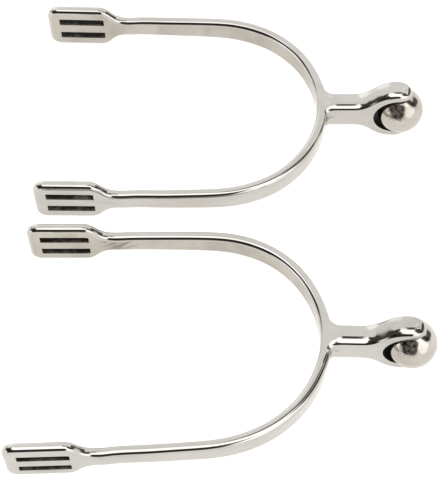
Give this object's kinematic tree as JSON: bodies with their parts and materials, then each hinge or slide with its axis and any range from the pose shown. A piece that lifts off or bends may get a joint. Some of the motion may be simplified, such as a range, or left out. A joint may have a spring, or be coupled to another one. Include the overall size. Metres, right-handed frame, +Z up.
{
  "type": "spurs",
  "caption": "Pair of polished steel riding spurs: U-shaped heel band with slotted strap plates, straight neck, and a ball that rolls in an upright fork.",
  "frame": {"origin": "on the surface the pair lies on, under the middle of the bounding box", "axes": "+X from the strap plates towards the balls, +Y from the near spur to the far spur, +Z up. Each ball turns about an axle that is within about 1 degree of +Z."},
  "size_m": [0.135, 0.173, 0.0228],
  "materials": {
    "polished_stainless": "mirror-polished stainless steel",
    "ball_steel": "polished steel ball, slightly duller than the band",
    "pin_steel": "ground and polished over flush with the prongs"
  },
  "bodies": {
    "far_spur": {"far_heel_band": "polished_stainless", "far_neck_fork": "polished_stainless", "far_axle_pin": "pin_steel"},
    "far_ball": {"far_roller_ball": "ball_steel"},
    "near_spur": {"near_heel_band": "polished_stainless", "near_neck_fork": "polished_stainless", "near_axle_pin": "pin_steel"},
    "near_ball": {"near_roller_ball": "ball_steel"}
  },
  "joints": [
    {"name": "far_ball_spin", "type": "hinge", "parent": "far_spur", "child": "far_ball", "pos_m": [0.05951, 0.04586, 0.01144], "axis": [-0.0178, 0, 0.9998], "continuous": true},
    {"name": "near_spur_slide", "type": "slide", "parent": "far_spur", "child": "near_spur", "axis": [0, -1, 0], "range_m": [0, 0.03]},
    {"name": "near_ball_spin", "type": "hinge", "parent": "near_spur", "child": "near_ball", "pos_m": [0.05803, -0.04544, 0.01144], "axis": [-0.0178, 0.0004, 0.9998], "continuous": true}
  ]
}
